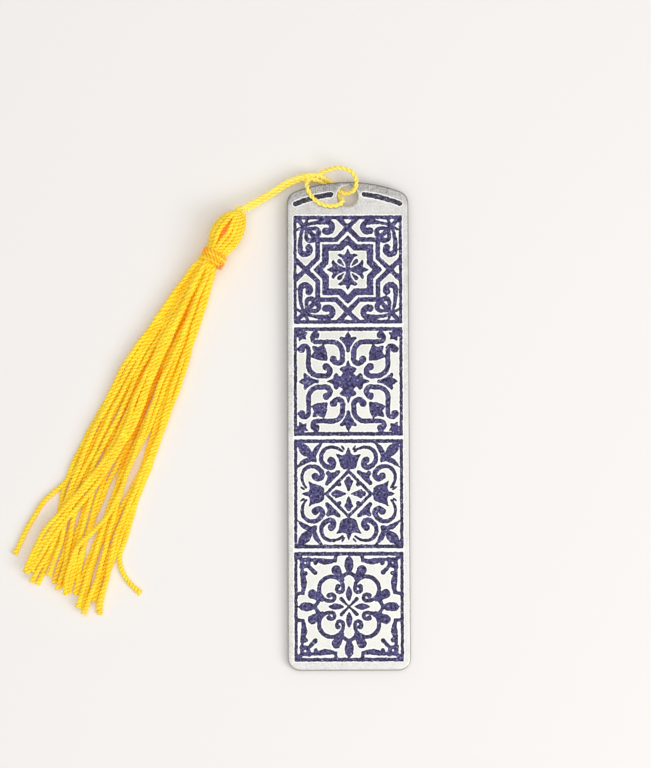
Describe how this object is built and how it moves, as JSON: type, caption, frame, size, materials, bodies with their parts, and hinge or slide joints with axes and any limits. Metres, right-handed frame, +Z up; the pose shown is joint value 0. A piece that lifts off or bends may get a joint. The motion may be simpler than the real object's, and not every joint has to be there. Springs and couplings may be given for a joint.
{
  "type": "bookmark",
  "caption": "Flat arched metal bookmark with inlaid enamel tile ornaments and a silk tassel hitched through a hole at its top.",
  "frame": {"origin": "under the middle of the plate, on the surface that the bookmark lies on", "axes": "+Z up from the surface, +Y along the plate towards its hole, +X across the plate"},
  "size_m": [0.0713, 0.091, 0.0057],
  "materials": {
    "plate_metal": "satin",
    "enamel": "granular matt enamel",
    "silk": "silky twisted thread"
  },
  "bodies": {
    "plate": {"plate": "plate_metal", "star_enamel": "enamel", "scroll_enamel": "enamel", "tulip_enamel": "enamel", "petal_enamel": "enamel", "accent_enamel_left": "enamel", "accent_enamel_right": "enamel"},
    "loop": {"loop_cord": "silk"},
    "knot": {"loop_knot": "silk"},
    "tassel": {"tassel_head": "silk", "neck_binding": "silk", "strand_01": "silk", "strand_02": "silk", "strand_03": "silk", "strand_04": "silk", "strand_05": "silk", "strand_06": "silk", "strand_07": "silk", "strand_08": "silk", "strand_09": "silk", "strand_10": "silk", "strand_11": "silk", "strand_12": "silk", "strand_13": "silk", "strand_14": "silk", "strand_15": "silk", "strand_16": "silk", "strand_17": "silk", "strand_18": "silk", "strand_19": "silk", "strand_20": "silk", "strand_21": "silk", "strand_22": "silk", "strand_23": "silk", "strand_24": "silk"}
  },
  "joints": [
    {"name": "loop_swing", "type": "hinge", "parent": "plate", "child": "loop", "pos_m": [0, 0.0414, 0.00112], "axis": [0, -0.0131, 0.9999], "range_deg": [-60, 0]},
    {"name": "tassel_swing", "type": "hinge", "parent": "loop", "child": "knot", "pos_m": [-0.0192, 0.0388, 0.00285], "axis": [0, 0, 1], "range_deg": [-60, 18]},
    {"name": "tassel_lift", "type": "hinge", "parent": "knot", "child": "tassel", "pos_m": [-0.0192, 0.0388, 0.00285], "axis": [-0.8508, 0.5255, 0], "range_deg": [0, 80]}
  ]
}
